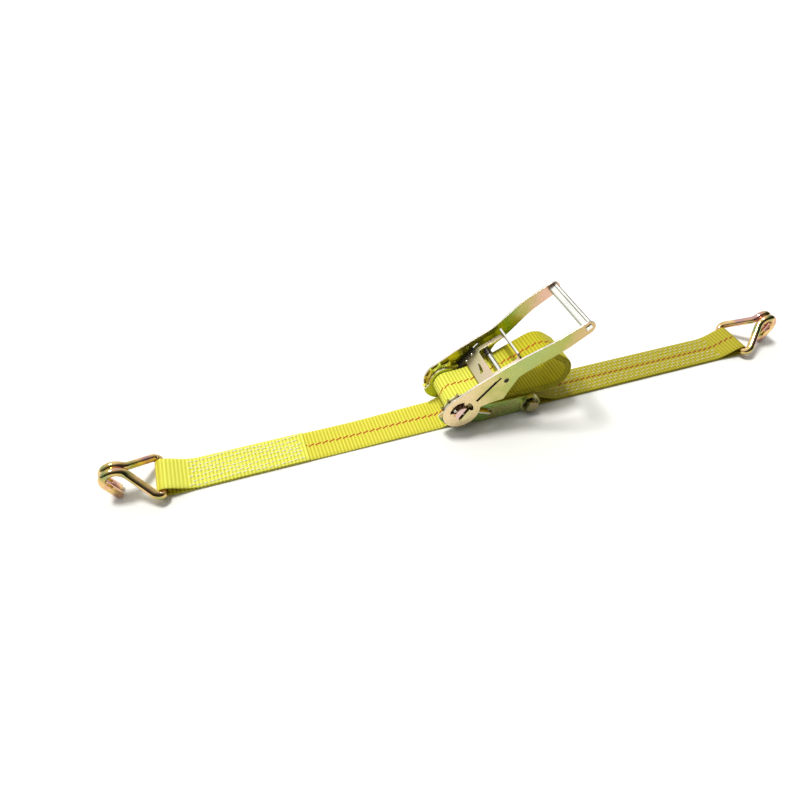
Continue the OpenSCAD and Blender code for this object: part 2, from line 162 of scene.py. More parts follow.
def chamfered(path, r, depth=1.2):
    """The path with a short last step at each end, and the radii that chamfer those ends."""
    path = [np.array(p, float) for p in path]
    a = path[1] - path[0]
    b = path[-1] - path[-2]
    head = [path[0], path[0] + a / np.linalg.norm(a) * depth]
    tail = [path[-1] - b / np.linalg.norm(b) * depth, path[-1]]
    return head + path[1:-1] + tail, [r - depth] + [r] * len(path) + [r - depth]


def piece(name, verts, faces, material, body, replaces=(), uv=None):
    """A new object from points in millimetres, riding on a CAD body."""
    mesh = bpy.data.meshes.new(name)
    mesh.from_pydata([Vector(v) * MM for v in verts], [], [list(f) for f in faces])
    if uv is not None:
        layer = mesh.uv_layers.new(name="UVMap")
        corners = np.zeros(len(mesh.loops), int)
        mesh.loops.foreach_get("vertex_index", corners)
        layer.data.foreach_set("uv", np.array(uv, float)[corners].ravel())
    mesh.polygons.foreach_set("use_smooth", [True] * len(mesh.polygons))
    mesh.materials.append(material)
    obj = bpy.data.objects.new(name, mesh)
    bpy.context.scene.collection.objects.link(obj)
    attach(obj, body)
    if replaces:
        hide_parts(*replaces)
    return obj


def boxes(spans, place):
    """Boxes from their low and high corners in U, Y and V, which place turns into X, Y and Z."""
    verts, faces = [], []
    for low, high in spans:
        base = len(verts)
        for u in (low[0], high[0]):
            for y in (low[1], high[1]):
                verts += [place(u, y, v) for v in (low[2], high[2])]
        for face in [(0, 1, 3, 2), (4, 6, 7, 5), (0, 4, 5, 1), (2, 3, 7, 6), (0, 2, 6, 4), (1, 5, 7, 3)]:
            faces.append(tuple(base + k for k in face))
    return verts, faces


def bevelled(obj, width):
    weld = obj.modifiers.new("weld", "WELD")
    weld.merge_threshold = 2e-6
    edge = obj.modifiers.new("edges", "BEVEL")
    edge.width = width * MM
    edge.segments = 2
    edge.limit_method = "ANGLE"
    edge.angle_limit = math.radians(35)
    normal = obj.modifiers.new("normals", "WEIGHTED_NORMAL")
    normal.weight = 80
    return obj


def thickened(obj, thickness):
    """Gives a flat piece its thickness, half to each side."""
    thick = obj.modifiers.new("thickness", "SOLIDIFY")
    thick.thickness = thickness * MM
    thick.offset = 0
    return thick


def paint(obj, material, chosen):
    """Adds a material for the faces that chosen picks. The others keep theirs."""
    obj.data.materials.append(material)
    index = len(obj.data.materials) - 1
    for f in obj.data.polygons:
        if chosen(f):
            f.material_index = index


# ---------- materials ----------


class Nodes:
    """A short way to write a node tree."""

    def __init__(self, name):
        self.material = bpy.data.materials.new(name)
        self.material.use_nodes = True
        self.tree = self.material.node_tree
        self.tree.nodes.clear()
        self.out = self.tree.nodes.new("ShaderNodeOutputMaterial")
        self.bsdf = self.tree.nodes.new("ShaderNodeBsdfPrincipled")
        self.tree.links.new(self.bsdf.outputs[0], self.out.inputs[0])

    def put(self, socket, value):
        if isinstance(value, bpy.types.NodeSocket):
            self.tree.links.new(value, socket)
        elif isinstance(value, tuple) and len(value) == 3 and socket.type == "RGBA":
            socket.default_value = (*value, 1)
        else:
            socket.default_value = value

    def set(self, **values):
        for key, value in values.items():
            self.put(self.bsdf.inputs[key.replace("_", " ")], value)

    def math(self, op, a, b=0.0, c=0.0):
        n = self.tree.nodes.new("ShaderNodeMath")
        n.operation = op
        for socket, value in zip(n.inputs, (a, b, c)):
            self.put(socket, value)
        return n.outputs[0]

    def noise(self, vector, scale, detail=3.0, rough=0.55):
        n = self.tree.nodes.new("ShaderNodeTexNoise")
        self.put(n.inputs["Vector"], vector)
        n.inputs["Scale"].default_value = scale
        n.inputs["Detail"].default_value = detail
        n.inputs["Roughness"].default_value = rough
        return n.outputs["Fac"]

    def span(self, value, a, b, c=0.0, d=1.0):
        """Goes smoothly from c to d as value goes from a to b."""
        n = self.tree.nodes.new("ShaderNodeMapRange")
        n.interpolation_type = "SMOOTHSTEP"
        for socket, x in zip(n.inputs, (value, a, b, c, d)):
            self.put(socket, x)
        return n.outputs[0]

    def mix(self, factor, a, b, blend="MIX"):
        n = self.tree.nodes.new("ShaderNodeMix")
        n.data_type, n.blend_type = "RGBA", blend
        self.put(n.inputs[0], factor)
        self.put(n.inputs[6], a)
        self.put(n.inputs[7], b)
        return n.outputs[2]

    def ramp(self, value, stops):
        n = self.tree.nodes.new("ShaderNodeValToRGB")
        set_stops(n.color_ramp, stops)
        self.put(n.inputs[0], value)
        return n.outputs[0]

    def place(self):
        return self.tree.nodes.new("ShaderNodeTexCoord").outputs["Object"]

    def flat_place(self):
        """Along and across the piece, from its UVs, which are in metres."""
        uv = self.tree.nodes.new("ShaderNodeUVMap")
        uv.uv_map = "UVMap"
        split = self.tree.nodes.new("ShaderNodeSeparateXYZ")
        self.put(split.inputs[0], uv.outputs[0])
        return split.outputs[0], split.outputs[1]

    def scaled(self, scale):
        n = self.tree.nodes.new("ShaderNodeMapping")
        n.inputs["Scale"].default_value = (scale, scale, scale)
        self.put(n.inputs[0], self.place())
        return n.outputs[0]

    def bump(self, height, distance, strength):
        n = self.tree.nodes.new("ShaderNodeBump")
        n.inputs["Strength"].default_value = strength
        n.inputs["Distance"].default_value = distance
        self.put(n.inputs["Height"], height)
        self.put(self.bsdf.inputs["Normal"], n.outputs[0])


def set_stops(ramp, stops):
    """Sets a colour ramp's stops, each a position and a colour."""
    while len(ramp.elements) < len(stops):
        ramp.elements.new(0.5)
    for element, (at, colour) in zip(ramp.elements, stops):
        element.position = at
        element.color = (*colour, 1)


def webbing_material(name, ridge, valley, red=None, sewn=None, shade=None):
    """Woven polyester: ribs across, fine yarns along, and where red is given, a zig-zag tracer in the middle.
    sewn gives the spacing of the rows of stitches that dimple it and paint shade into the dimples, and where
    they start and stop along it.
    shade gives the stretch over which painted shade darkens it, and the tint it turns by."""
    yarn_width, edge_start, edge_full = 1.15, 24.5, 24.9
    tracer_swing, tracer_half, tracer_out = 1.7, 0.85, 1.3
    m = Nodes(name)
    along, across = m.flat_place()
    ribs = m.math("DIVIDE", along, RIB * MM)
    rib = m.math("COSINE", m.math("MULTIPLY", ribs, 2 * math.pi))
    selvedge = m.span(m.math("ABSOLUTE", across), edge_start * MM, edge_full * MM)
    worn = m.math("SUBTRACT", 1.0, m.math("MULTIPLY", selvedge, 0.6))
    crown = m.math("MULTIPLY", m.span(rib, -1.0, 0.9), worn)
    half_turn = m.math("MULTIPLY", m.math("FLOOR", ribs), math.pi)
    yarn = m.math("COSINE", m.math("MULTIPLY_ADD", across, 2 * math.pi / (yarn_width * MM), half_turn))
    soft = m.noise(m.place(), 28.0, 2.0)
    fibre = m.noise(m.scaled(900), 1.0, 2.0)
    dull = tuple(c * 0.82 for c in ridge)
    pale = tuple(min(1, c * 1.15 + 0.02) for c in ridge)
    colour = m.mix(crown, valley, ridge)
    colour = m.mix(m.span(yarn, -1, 0.2, 0.16, 0.0), colour, valley)
    colour = m.mix(m.span(soft, 0.3, 0.7, 0.0, 0.22), colour, dull)
    colour = m.mix(m.span(fibre, 0.35, 0.75, 0.0, 0.16), colour, pale)
    height = m.math("ADD", m.math("MULTIPLY", yarn, 0.5), m.math("MULTIPLY", fibre, 0.7))
    if sewn:
        spacing, start, stop = sewn
        row = m.math("COSINE", m.math("MULTIPLY", across, 2 * math.pi / (spacing * MM)))
        begun = m.span(along, start * MM, (start + 4) * MM)
        unended = m.span(along, (stop - 3) * MM, stop * MM, 1.0, 0.0)
        dip = m.math("MULTIPLY", m.math("MULTIPLY", begun, unended), m.span(row, -0.7, 1.0))
        depth = m.math("MULTIPLY", dip, m.span(rib, -0.9, 0.2, 0.55, 0.05))
        # Painted shade: darker in the dimples along the stitch rows.
        colour = m.mix(depth, colour, tuple(c * 0.85 for c in valley))
        height = m.math("MULTIPLY_ADD", dip, -3.0, height)
    # Painted shade: the tail turns darker from where it winds onto the roll.
    if shade:
        start, stop, tint = shade
        tinted = m.mix(1.0, colour, tint, "MULTIPLY")
        colour = m.mix(m.span(along, start * MM, stop * MM), colour, tinted)
    if red:
        saw = m.math("FRACT", m.math("MULTIPLY", ribs, 0.5))
        line = m.math("MULTIPLY_ADD", saw, 2 * tracer_swing * MM, -tracer_swing * MM)
        away = m.math("ABSOLUTE", m.math("SUBTRACT", across, line))
        inside = m.span(away, tracer_half * MM, tracer_out * MM, 1.0, 0.0)
        dash = m.math("MULTIPLY", m.span(saw, 0.02, 0.08), m.span(saw, 0.92, 0.99, 1.0, 0.0))
        gap = m.span(rib, -0.98, -0.6, 0.80, 1.0)
        colour = m.mix(m.math("MULTIPLY", m.math("MULTIPLY", inside, dash), gap), colour, red)
    m.set(Base_Color=colour, Roughness=m.span(crown, 0, 1, 0.85, 0.62))
    m.set(Sheen_Weight=0.06, Sheen_Roughness=0.5)
    m.bsdf.inputs["Specular IOR Level"].default_value = 0.28
    m.bump(height, 0.12 * MM, 0.8)
    return m.material


def plated_nodes(name, rough, metallic=1.0):
    """Plated steel but for its colour: faint rolling grain and scuffs, which it also gives back."""
    m = Nodes(name)
    fine = m.noise(m.scaled(40), 12.0, 4.0, 0.6)
    spots = m.noise(m.place(), 420.0, 3.0)
    m.set(Metallic=metallic, Roughness=m.span(fine, 0.3, 0.75, rough - 0.06, rough + 0.10))
    m.bump(m.math("ADD", fine, m.math("MULTIPLY", spots, 0.5)), 0.02 * MM, 0.35)
    return m, fine, spots


def plated(name, stops, rough=0.26, scale=16.0, metallic=1.0, dirt=0.12):
    """Zinc plating with a passivated film, whose colours drift over the surface."""
    m, fine, spots = plated_nodes(name, rough, metallic)
    drift = m.noise(m.place(), scale, 1.5, 0.45)
    mixed = m.math("MULTIPLY_ADD", fine, 0.10, m.math("MULTIPLY_ADD", drift, 1.0, -0.05))
    colour = m.ramp(m.span(mixed, 0.28, 0.72), stops)
    m.set(Base_Color=m.mix(m.span(spots, 0.55, 0.8, 0.0, dirt), colour, (0.16, 0.12, 0.06)))
    return m.material


def two_tone(name, first, second, *looks, **more):
    """Plating that drifts between two colours."""
    return plated(name, [(0.0, first), (1.0, second)], *looks, **more)


def arm_material(name, stops, rough):
    """The handle's plating, whose colour changes along the arm."""
    m, _, _ = plated_nodes(name, rough)
    along, above = m.flat_place()
    wander = m.math("MULTIPLY_ADD", m.noise(m.place(), 32.0, 2.0), 0.09, -0.045)
    where = m.math("ADD", m.math("ADD", along, wander), m.math("MULTIPLY", above, -0.4))
    spots = m.noise(m.place(), 300.0, 3.0)
    colour = m.ramp(m.span(where, -0.03, 0.2), stops)
    m.set(Base_Color=m.mix(m.span(spots, 0.55, 0.8, 0.0, 0.14), colour, (0.22, 0.18, 0.06)))
    return m.material


def thread_material(name, colour, dark):
    m = Nodes(name)
    twist = m.noise(m.scaled(2600), 1.0, 1.0)
    m.set(Base_Color=m.mix(m.span(twist, 0.35, 0.65), dark, colour), Roughness=0.6, Sheen_Weight=0.2)
    m.bump(twist, 0.08 * MM, 0.6)
    return m.material


# The ribs' crests and the hollows between them.
LONG = (0.82, 0.77, 0.075), (0.52, 0.46, 0.02)
TAIL = (0.89, 0.90, 0.115), (0.54, 0.52, 0.028)
SHORT = (0.485, 0.425, 0.020), (0.31, 0.265, 0.007)
LAP = (0.90, 0.92, 0.14), (0.62, 0.58, 0.03)
# Painted shade for the gaps between the wound plies, near-black olive on the underside's corners at the
# selvedges.
PLY_GAP_SHADE = (0.17, 0.14, 0.007), (0.10, 0.08, 0.004)
ROLL_PAINTED_SHADE = (95, 150, (0.75, 0.68, 0.13))  # where painted shade darkens the tail, on the roll, and its tint
RED, DARK_RED = (0.44, 0.018, 0.003), (0.25, 0.004, 0.005)
LAP_ROWS, SHORT_ROWS = 6.6, 6.2  # from one row of stitches to the next
LONG_WEB = webbing_material("long_webbing", *LONG, RED)
LONG_BACK = webbing_material("long_webbing_back", *LONG)
LAP_WEB = webbing_material("lap_webbing", *LAP, sewn=(LAP_ROWS, 32, 181))
TAIL_WEB = webbing_material("tail_webbing", *TAIL, RED, shade=ROLL_PAINTED_SHADE)
TAIL_BACK = webbing_material("tail_webbing_back", *TAIL, shade=ROLL_PAINTED_SHADE)
# The tail's painted shade between its wound plies.
TAIL_GAP_SHADE = webbing_material("tail_webbing_painted_gap_shade", *PLY_GAP_SHADE)
SHORT_WEB = webbing_material("short_webbing", *SHORT, DARK_RED, sewn=(SHORT_ROWS, 48, 338))
SHORT_BACK = webbing_material("short_webbing_back", *SHORT)

SPRING = two_tone("spring_steel", (0.10, 0.09, 0.08), (0.22, 0.20, 0.17), 0.28, 30)
FRAME = plated("frame_steel", [
    (0.0, (0.23, 0.43, 0.13)), (0.5, (0.28, 0.47, 0.12)),
    (0.85, (0.36, 0.47, 0.12)), (1.0, (0.44, 0.41, 0.16)),
], 0.26, 20)
# Painted light: a brighter copy of the frame's plating for the far plate, whose inside the light falls on.
FRAME_FAR_PAINTED_LIGHT = two_tone("frame_steel_far_painted_light", (0.50, 0.66, 0.07), (0.70, 0.74, 0.09), 0.36, 30, metallic=0.55)
WHEEL = plated("wheel_steel", [
    (0.0, (0.56, 0.66, 0.07)), (0.5, (0.78, 0.74, 0.09)), (1.0, (0.62, 0.46, 0.10)),
], 0.30, 30, metallic=0.7)
# Painted shade: a darker copy of the wheel's plating, for the near wheel, which lies in shade.
WHEEL_PAINTED_SHADE = plated("wheel_steel_painted_shade", [
    (0.0, (0.16, 0.15, 0.05)), (0.6, (0.28, 0.22, 0.09)), (1.0, (0.40, 0.28, 0.12)),
], 0.32, 60)
SLIDER = plated("slider_steel", [
    (0.0, (0.66, 0.61, 0.36)), (0.45, (0.76, 0.62, 0.44)), (1.0, (0.80, 0.60, 0.48)),
], 0.30, 24)
PAWL = plated("pawl_steel", [
    (0.0, (0.95, 0.62, 0.03)), (0.6, (0.96, 0.68, 0.05)), (1.0, (0.90, 0.66, 0.14)),
], 0.30, 24, metallic=0.15)
MANDREL_PINK = two_tone("mandrel_pink", (0.74, 0.50, 0.42), (0.80, 0.56, 0.50), 0.26, 40)
MANDREL_OLIVE = two_tone("mandrel_olive", (0.56, 0.54, 0.24), (0.68, 0.60, 0.30), 0.26, 40)
BOLT_STEEL = plated("bolt_steel", [
    (0.0, (0.19, 0.18, 0.08)), (0.5, (0.25, 0.22, 0.10)), (1.0, (0.29, 0.20, 0.13)),
], 0.24, 60)
# Painted shade: dark steel for the washers in the shaded recess round the bolt head, and for the upright
# lip's shaded faces.
PAINTED_SHADE_STEEL = two_tone("painted_shade_steel", (0.16, 0.14, 0.10), (0.30, 0.26, 0.18), 0.30, 60)
# Bright steel for the sleeve, pins, rod and rivets, which also paints highlights onto the slider's rims,
# bevelled edges and tab.
BRIGHT_STEEL_AND_HIGHLIGHT = two_tone("bright_steel", (0.74, 0.74, 0.72), (0.86, 0.86, 0.84), 0.20, 30, dirt=0.06)
GRIP = two_tone("grip_steel", (0.78, 0.79, 0.77), (0.88, 0.88, 0.85), 0.26, 30, dirt=0.04)
# Painted shade for the grip's sides: light grey towards the drum, near black away from it.
GRIP_INNER_PAINTED_SHADE = two_tone("grip_inner_painted_shade", (0.46, 0.49, 0.42), (0.58, 0.60, 0.53), 0.30, 30)
GRIP_OUTER_PAINTED_SHADE = two_tone("grip_outer_painted_shade", (0.13, 0.10, 0.07), (0.24, 0.19, 0.14), 0.30, 30)
# Painted shade: near-black steel for the slots, ears and holes that lie in shade.
PAINTED_RECESS_SHADE = two_tone("painted_recess_shade", (0.035, 0.03, 0.025), (0.08, 0.07, 0.05), 0.45, 60, metallic=0.6)
# Painted highlights: paler steel for the sheared edges, which catch the light.
PAINTED_EDGE_HIGHLIGHT = two_tone("painted_edge_highlight", (0.60, 0.56, 0.48), (0.76, 0.70, 0.66), 0.32, 60, dirt=0.05)
OLIVE_PAINTED_EDGE_HIGHLIGHT = two_tone("olive_painted_edge_highlight", (0.66, 0.68, 0.36), (0.80, 0.70, 0.46), 0.32, 60, dirt=0.05)
HOOK = plated("hook_steel", [
    (0.0, (0.30, 0.37, 0.15)), (0.25, (0.62, 0.45, 0.15)), (0.5, (0.84, 0.58, 0.26)),
    (0.75, (0.72, 0.40, 0.28)), (1.0, (0.56, 0.33, 0.33)),
], 0.09, 42, dirt=0.14)
ARM_NEAR = arm_material("arm_near", [
    (0.0, (0.89, 0.69, 0.41)), (0.22, (0.72, 0.60, 0.27)), (0.40, (0.50, 0.51, 0.15)),
    (0.62, (0.42, 0.50, 0.16)), (0.90, (0.43, 0.44, 0.11)), (1.0, (0.62, 0.44, 0.21)),
], 0.30)
ARM_FAR = arm_material("arm_far", [
    (0.0, (0.60, 0.46, 0.10)), (0.25, (0.50, 0.50, 0.06)), (0.5, (0.42, 0.44, 0.04)),
    (0.66, (0.26, 0.42, 0.10)), (0.82, (0.46, 0.42, 0.12)), (1.0, (0.74, 0.46, 0.34)),
], 0.26)
WHITE_THREAD = thread_material("white_thread", (0.97, 0.97, 0.95), (0.92, 0.92, 0.87))
GREY_THREAD = thread_material("grey_thread", (0.80, 0.77, 0.62), (0.60, 0.56, 0.40))


# ---------- camera, floor and light ----------


def camera():
    """Fitted to the edges of the webbing in the photograph."""
    az, el, roll = (math.radians(a) for a in (-19.04, 44.09, -0.44))
    stands_at = (-0.311, -0.5706, 0.637)
    forward = Vector((-math.sin(az) * math.cos(el), math.cos(az) * math.cos(el), -math.sin(el)))
    right = forward.cross(Vector((0, 0, 1))).normalized()
    up = right.cross(forward)
    turn = Matrix.Rotation(roll, 3, forward)
    right, up = turn @ right, turn @ up
    data = bpy.data.cameras.new("camera")
    data.lens, data.sensor_width = 28.74, 36
    data.shift_x, data.shift_y = -0.0019, -0.0034
    data.clip_start, data.clip_end = 0.02, 20
    obj = bpy.data.objects.new("camera", data)
    turned_so = Matrix((right, up, -forward)).transposed().to_4x4()
    obj.matrix_world = Matrix.Translation(stands_at) @ turned_so
    bpy.context.scene.collection.objects.link(obj)
    bpy.context.scene.camera = obj


def floor():
    half, gap = 6, 0.0003  # in metres
    surface = Nodes("floor")
    surface.set(Base_Color=(0.93, 0.93, 0.925), Roughness=0.9)
    surface.bsdf.inputs["Specular IOR Level"].default_value = 0.1
    mesh = bpy.data.meshes.new("floor")
    corners = [(-half, -half, 0), (half, -half, 0), (half, half, 0), (-half, half, 0)]
    mesh.from_pydata(corners, [], [(0, 1, 2, 3)])
    mesh.materials.append(surface.material)
    obj = bpy.data.objects.new("floor", mesh)
    bpy.context.scene.collection.objects.link(obj)
    obj.location.z = -gap


def key_light():
    data = bpy.data.lights.new("key", "SUN")
    data.energy, data.angle, data.color = 2.25, math.radians(14), (1.0, 0.99, 0.96)
    key = bpy.data.objects.new("key", data)
    key.rotation_euler = Vector((0.24, -0.24, -1.0)).to_track_quat("-Z", "Y").to_euler()
    bpy.context.scene.collection.objects.link(key)


def sky():
    """Bright behind the strap and above it, and dark in front, so that the steel has something to mirror."""
    brightest = Vector((-0.30, 0.72, 0.62))
    greys = [(0.0, 0.03), (0.50, 0.05), (0.62, 0.30), (0.80, 0.95), (1.0, 1.30)]
    world = bpy.data.worlds.new("world")
    bpy.context.scene.world = world
    world.use_nodes = True
    tree = world.node_tree
    where = tree.nodes.new("ShaderNodeTexCoord").outputs["Generated"]
    toward = tree.nodes.new("ShaderNodeVectorMath")
    toward.operation = "DOT_PRODUCT"
    toward.inputs[1].default_value = brightest.normalized()
    tree.links.new(where, toward.inputs[0])
    ramp = tree.nodes.new("ShaderNodeValToRGB")
    set_stops(ramp.color_ramp, [(at, (grey, grey, grey * 0.95)) for at, grey in greys])
    half = tree.nodes.new("ShaderNodeMapRange")
    half.inputs["From Min"].default_value = -1.0
    half.inputs["From Max"].default_value = 1.0
    tree.links.new(toward.outputs["Value"], half.inputs["Value"])
    tree.links.new(half.outputs[0], ramp.inputs[0])
    tree.links.new(ramp.outputs[0], tree.nodes["Background"].inputs[0])
    tree.nodes["Background"].inputs[1].default_value = 0.83


camera()
floor()
key_light()
sky()
bpy.context.scene.view_settings.view_transform = "Standard"


# ---------- webbing ----------


CROWN = [1.0, 0.82, 0.3, 0.0, 0.3, 0.82]  # how high the points along one rib stand, as a share
FLAT_Y = [-24.3, -18, -12, -6, -2, 2, 6, 12, 18, 24.3]
EDGE_Y, EDGE_SHARE = 24.85, 0.62  # the corner that rounds each selvedge
HOLLOW, RISE = 0.82, 0.20  # half the thickness between the ribs, and what a rib adds to it
SELVEDGE = 0.94  # half the thickness at the selvedges
WAIST = 0.006  # the share by which the webbing is narrower between its ribs


class Ribbon:
    """One length of webbing: a path in X and Z for its middle, with ribs across it and rounded selvedges."""

    def __init__(self, points, roll=None, lift=None):
        self.p, self.s = resample(points, RIB / len(CROWN))
        self.n = normals(self.p)
        self.roll = np.radians([roll(s) if roll else 0.0 for s in self.s])
        lifted = np.array([lift(s) if lift else 0.0 for s in self.s])
        raised = WEB_W / 2 * np.abs(np.sin(self.roll)) + lifted
        self.p = self.p + self.n * raised[:, None]
        self.length = self.s[-1]

    def at(self, s, y, h):
        """The point h above the middle of the ply, at s along it and y across it."""
        px, pz = np.interp(s, self.s, self.p[:, 0]), np.interp(s, self.s, self.p[:, 1])
        nx, nz = np.interp(s, self.s, self.n[:, 0]), np.interp(s, self.s, self.n[:, 1])
        a = np.interp(s, self.s, self.roll)
        up = y * np.sin(a) + h * np.cos(a)
        return np.array([px + nx * up, y * np.cos(a) - h * np.sin(a), pz + nz * up])

    def build(self, name, material, back, replaces, gap_shade=None):
        """The ply as a piece. back covers its underside. The last argument paints shade onto the corners of
        that at the selvedges, for the gaps between the wound plies.
        """
        side = WEB_W / 2
        section = [(-EDGE_Y, EDGE_SHARE)] + [(y, 1.0) for y in FLAT_Y] + [(EDGE_Y, EDGE_SHARE), (side, 0.0)]
        section += [(EDGE_Y, -EDGE_SHARE)] + [(y, -1.0) for y in reversed(FLAT_Y)]
        section += [(-EDGE_Y, -EDGE_SHARE), (-side, 0.0)]
        n = len(section)
        verts, uv, faces = [], [], []
        for i, s in enumerate(self.s):
            crown = CROWN[i % len(CROWN)]
            half = HOLLOW + RISE * crown
            squeeze = 1 - WAIST * (1 - crown)
            for y, k in section:
                verts.append(self.at(s, y * squeeze, k * (half if abs(y) < EDGE_Y else SELVEDGE)))
                uv.append((s * MM, y * MM))
        for i in range(len(self.s) - 1):
            for k in range(n):
                m = (k + 1) % n
                faces.append((i * n + k, i * n + m, (i + 1) * n + m, (i + 1) * n + k))
        faces.append(tuple(range(n - 1, -1, -1)))
        last = (len(self.s) - 1) * n
        faces.append(tuple(last + k for k in range(n)))
        obj = piece(name, verts, faces, material, "frame", replaces, uv)
        paint(obj, back, lambda f: f.index % n >= len(FLAT_Y) + 2)
        # Painted shade: the underside's corners at each selvedge turn dark, for the gap between one ply and
        # the next.
        if gap_shade:
            paint(obj, gap_shade, lambda f: f.index % n in (n // 2, n - 3))
        return obj


LOOP_MID = WIRE_R + 0.35 + HALF_T  # from a hook's base bar to the middle of the ply round it
SLEEVE_R = 8.1  # the inside of the loop round the spacer sleeve
WRAP_R, WRAP_SHIFT = 14.6, 1.1  # each ply's bend round the drum, and how far its centre is off the axis
PLY_ABOVE = 1.5 * WEB_T  # the middle of a ply that lies on another
LAP_CLOSES = 46  # how far from a hook the two plies meet
LAP_END = 182  # how far from the hook the lap is cut off
TAIL_SLOPE = 24.2
ROLL = [(24, 45.4, 20.0), (82, 65.5, 30.0), (94, 56.0, 30.0)]  # X, Z and R of the circles it goes round
ROLL_TURNS, ROLL_PITCH = 3.86, 2.6  # how often it goes round, and how much smaller it gets each time


def long_path():
    meets, end = -48, 88  # where the ply meets the drum from below, and where it ends, on top
    bar = (-BAR_X, BAR_Z)
    under = (bar[0], BAR_Z - LOOP_MID)
    foot = (DRUM[0] - 27, HALF_T)
    centre = (DRUM[0], DRUM[1] - WRAP_SHIFT)
    r = WRAP_R + HALF_T
    touch = np.array(centre) + polar(r, meets)
    along = polar(1, meets + 90)
    return (
        arc(bar, LOOP_MID, 90, 270, 24)
        + bezier(under, (under[0] + 6, under[1]), (bar[0] + 10, HALF_T), (bar[0] + 18, HALF_T), 8)
        + bezier(foot, (foot[0] + 16, foot[1]), touch - 22 * along, touch, 16)
        + arc(centre, r, meets, end, 30)
    )


def closing(side):
    """Where the folded-back ply comes down from the top of a hook's loop onto the ply below."""
    x = side * BAR_X
    top = BAR_Z + LOOP_MID
    meet = (x - side * LAP_CLOSES, PLY_ABOVE)
    return bezier((x, top), (x - side * 12, top), (x - side * 26, PLY_ABOVE), meet, 16)


def roll_point(a, inset):
    """The point of the wound tail that faces the angle a, inset from the hull of its circles."""
    c = max(ROLL, key=lambda c: c[0] * math.cos(math.radians(a)) + c[1] * math.sin(math.radians(a)) + c[2])
    return np.array(c[:2]) + polar(c[2] - inset, a)


def tail_path():
    """From under the drum, up its left side and on to the roll, then round the roll and inwards."""
    centre = (DRUM[0], DRUM[1] + WRAP_SHIFT)
    top = (centre[0], centre[1] + WRAP_R + HALF_T)
    a0 = 90 + TAIL_SLOPE
    start = roll_point(a0, HALF_T)
    along = polar(1, TAIL_SLOPE)
    meet = start + along * (DRUM[0] + 44 - start[0]) / along[0]
    path = arc(centre, WRAP_R + HALF_T, 270, 90, 36)
    path += bezier(top, (top[0] + 16, top[1]), meet - 16 * along, meet, 12)
    steps = int(ROLL_TURNS * 90)  # one every 4 degrees
    for i in range(steps + 1):
        a = a0 - 360 * ROLL_TURNS * i / steps
        path.append(roll_point(a, HALF_T + ROLL_PITCH * ROLL_TURNS * i / steps))
    return path


def short_path():
    r = SLEEVE_R + HALF_T
    low = (BOLT[0], BOLT[1] - r)
    bar = (BAR_X, BAR_Z)
    under = (BAR_X, BAR_Z - LOOP_MID)
    return (
        arc(BOLT, r, 90, 270, 24)
        + bezier(low, (low[0] + 10, low[1]), (low[0] + 18, HALF_T), (low[0] + 30, HALF_T), 8)
        + bezier((BAR_X - 18, HALF_T), (BAR_X - 10, HALF_T), (under[0] - 6, under[1]), under, 8)
        + arc(bar, LOOP_MID, -90, 90, 24)
    )


def short_upper_path():
    top = (BOLT[0], BOLT[1] + SLEEVE_R + HALF_T)
    drop = bezier(top, (top[0] + 14, top[1]), (top[0] + 34, PLY_ABOVE), (top[0] + 56, PLY_ABOVE), 14)
    return drop + closing(1)[::-1]


THREAD_ACROSS, THREAD_HIGH = 0.58, 0.30  # half the width and half the height of a thread
DIVE = 0.50  # how much lower a dash's ends are than its middle
DASH_POINTS, THREAD_SIDES = 6, 6
COVER_SPREAD, ROW_SPREAD, SLANTS = 0.07, 0.25, (0.5, 1.5)  # how unevenly the dashes are sewn


def stitches(name, ribbon, material, rows, s0, s1, pitch, drift, cover=0.63, crest=1.26, top=True):
    """Thread that shows as short raised dashes in rows, each dash diving into the webbing at both ends.
    The rows start at s0 and stop at s1. drift gives how far they sway, and over what length.
    cover is the share of the pitch that a dash takes, and crest how high its middle stands over the ply's."""
    verts, faces = [], []
    sign = 1 if top else -1
    for r, y0 in enumerate(rows):
        s = s0 + (r % 2) * pitch * 0.5
        while s < s1:
            long = pitch * random.uniform(cover - COVER_SPREAD, cover + COVER_SPREAD)
            sway = drift[0] * (abs((s / drift[1] + r * 0.37) % 2 - 1) * 2 - 1)
            y = y0 + sway + random.uniform(-ROW_SPREAD, ROW_SPREAD)
            slant = random.uniform(*SLANTS)
            base = len(verts)
            for i in range(DASH_POINTS):
                t = i / (DASH_POINTS - 1)
                h = sign * (crest - DIVE + DIVE * math.sin(math.pi * t))
                mid_s, mid_y = s + long * t, y + slant * (t - 0.5)
                for k in range(THREAD_SIDES):
                    b = math.radians(360 / THREAD_SIDES * k)
                    across, up = THREAD_ACROSS * math.cos(b), THREAD_HIGH * math.sin(b)
                    verts.append(ribbon.at(mid_s, mid_y + across, h + up))
            for i in range(DASH_POINTS - 1):
                ring = base + i * THREAD_SIDES
                after = ring + THREAD_SIDES
                for k in range(THREAD_SIDES):
                    m = (k + 1) % THREAD_SIDES
                    faces.append((ring + k, ring + m, after + m, after + k))
            faces.append(tuple(base + k for k in range(THREAD_SIDES - 1, -1, -1)))
            end = base + (DASH_POINTS - 1) * THREAD_SIDES
            faces.append(tuple(end + k for k in range(THREAD_SIDES)))
            s += pitch
    return piece(name, verts, faces, material, "frame")


def slight_roll(s):
    """The long strap leans a little on one selvedge before the ratchet."""
    most, middle, reach = 5.0, 385, 60
    return most * math.exp(-(((s - middle) / reach) ** 2))


def slight_lift(s):
    """The long strap's middle isn't quite flat on the surface."""
    swing, wave, start, stop = 0.35, 23.0, 60, 380
    return swing * (1 + math.sin(s / wave)) if start < s < stop else 0


